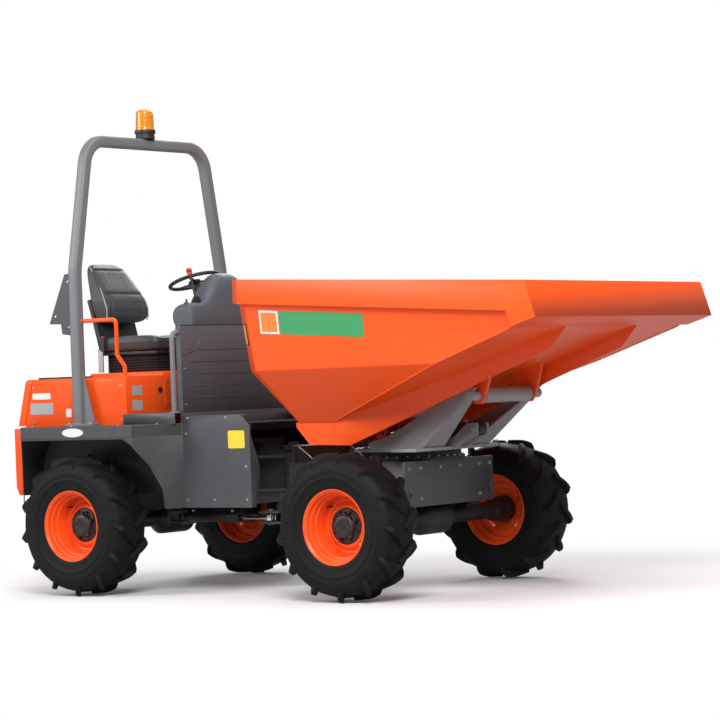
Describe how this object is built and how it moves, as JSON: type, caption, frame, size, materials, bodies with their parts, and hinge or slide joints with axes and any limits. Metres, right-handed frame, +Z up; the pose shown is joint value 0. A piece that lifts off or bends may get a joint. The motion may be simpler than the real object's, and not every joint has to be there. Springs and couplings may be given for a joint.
{
  "type": "articulated site dumper",
  "caption": "Articulated four-wheel site dumper with a swivelling, front-tipping skip, a roll-over hoop, a rear driver's seat and a lifting rear hatch.",
  "frame": {"origin": "on the ground under the middle of the machine's bounding box", "axes": "+X forward, from the driver towards the skip's pouring lip; +Y the driver's left; +Z up"},
  "size_m": [4.056, 1.9088, 2.9858],
  "materials": {
    "orange_paint": "gloss, slightly worn",
    "dark_grey_paint": "satin",
    "mid_grey_paint": "satin",
    "black_paint": "satin",
    "tyre_rubber": "matt",
    "black_plastic": "fine grain",
    "seat_vinyl": "fine grain",
    "amber_lens": "clear amber",
    "chrome_rod": "polished",
    "cast_block": "as cast"
  },
  "bodies": {
    "rear": {"rear_chassis": "dark_grey_paint", "rear_axle": "black_paint", "engine": "cast_block", "housing": "orange_paint", "vent_grilles": "black_plastic", "side_panel_left": "dark_grey_paint", "side_panel_right": "dark_grey_paint", "arch_liners": "black_plastic", "rear_guard": "orange_paint", "footwell_floor": "dark_grey_paint", "cowl": "black_plastic", "dash_console": "black_plastic", "controls": "black_plastic", "rops_hoop": "mid_grey_paint", "beacon_base": "black_plastic", "beacon_lens": "amber_lens", "seat_base": "black_paint", "seat_cushion": "seat_vinyl", "seat_back": "seat_vinyl", "grab_rails": "orange_paint", "handrails": "mid_grey_paint"},
    "front": {"front_chassis": "dark_grey_paint", "slewing_ring": "black_paint", "front_axle": "black_paint"},
    "swivel": {"swivel_frame": "mid_grey_paint"},
    "skip": {"skip": "orange_paint", "skip_reflectors": "amber_lens"},
    "hatch": {"hatch": "orange_paint"},
    "steering_wheel": {"steering_wheel": "black_plastic"},
    "steer_barrel": {"steer_barrel": "black_paint"},
    "steer_rod": {"steer_rod": "chrome_rod"},
    "ram_barrel": {"ram_barrel": "black_paint"},
    "ram_rod": {"ram_rod": "chrome_rod"},
    "wheel_front_left": {"tyre_front_left": "tyre_rubber", "rim_front_left": "orange_paint", "hub_front_left": "black_paint"},
    "wheel_front_right": {"tyre_front_right": "tyre_rubber", "rim_front_right": "orange_paint", "hub_front_right": "black_paint"},
    "wheel_rear_left": {"tyre_rear_left": "tyre_rubber", "rim_rear_left": "orange_paint", "hub_rear_left": "black_paint"},
    "wheel_rear_right": {"tyre_rear_right": "tyre_rubber", "rim_rear_right": "orange_paint", "hub_rear_right": "black_paint"}
  },
  "joints": [
    {"name": "articulation", "type": "hinge", "parent": "rear", "child": "front", "pos_m": [-0.348, 0, 0.712], "axis": [0, 0, -1], "range_deg": [-33, 33]},
    {"name": "skip_swivel", "type": "hinge", "parent": "front", "child": "swivel", "pos_m": [0.532, 0, 0.815], "axis": [0, 0, 1], "range_deg": [-90, 90]},
    {"name": "skip_tip", "type": "hinge", "parent": "swivel", "child": "skip", "pos_m": [1.192, 0, 1.125], "axis": [0, 1, 0], "range_deg": [0, 70]},
    {"name": "hatch_lift", "type": "hinge", "parent": "rear", "child": "hatch", "pos_m": [-1.86, 0, 1.31], "axis": [0, 1, 0], "range_deg": [0, 70]},
    {"name": "spin_front_left", "type": "hinge", "parent": "front", "child": "wheel_front_left", "pos_m": [0.637, 0.81, 0.4225], "axis": [0, 1, 0], "continuous": true},
    {"name": "spin_front_right", "type": "hinge", "parent": "front", "child": "wheel_front_right", "pos_m": [0.637, -0.81, 0.4225], "axis": [0, 1, 0], "continuous": true},
    {"name": "spin_rear_left", "type": "hinge", "parent": "rear", "child": "wheel_rear_left", "pos_m": [-1.333, 0.81, 0.4225], "axis": [0, 1, 0], "continuous": true},
    {"name": "spin_rear_right", "type": "hinge", "parent": "rear", "child": "wheel_rear_right", "pos_m": [-1.333, -0.81, 0.4225], "axis": [0, 1, 0], "continuous": true},
    {"name": "steering_wheel_turn", "type": "hinge", "parent": "rear", "child": "steering_wheel", "pos_m": [-1.079, 0, 1.888], "axis": [-0.2924, 0, 0.9563], "continuous": true},
    {"name": "steer_barrel_swing", "type": "hinge", "parent": "rear", "child": "steer_barrel", "pos_m": [-1.008, -0.272, 0.44], "axis": [0, 0, -1], "range_deg": [-5, 5]},
    {"name": "steer_rod_slide", "type": "slide", "parent": "steer_barrel", "child": "steer_rod", "axis": [0.9978, -0.0665, 0], "range_m": [-0.18, 0.18]},
    {"name": "ram_barrel_swing", "type": "hinge", "parent": "swivel", "child": "ram_barrel", "pos_m": [1.002, 0, 0.93], "axis": [0, 1, 0], "range_deg": [0, 77]},
    {"name": "ram_rod_slide", "type": "slide", "parent": "ram_barrel", "child": "ram_rod", "axis": [-0.9999, 0, -0.0154], "range_m": [0, 0.31]}
  ],
  "couplings": [
    {"joint": "steer_barrel_swing", "follows": "articulation", "ratio": 0.11},
    {"joint": "steer_rod_slide", "follows": "articulation", "m_per_rad": -0.308},
    {"joint": "ram_barrel_swing", "follows": "skip_tip", "ratio": 1.08},
    {"joint": "ram_rod_slide", "follows": "skip_tip", "m_per_rad": 0.25}
  ]
}
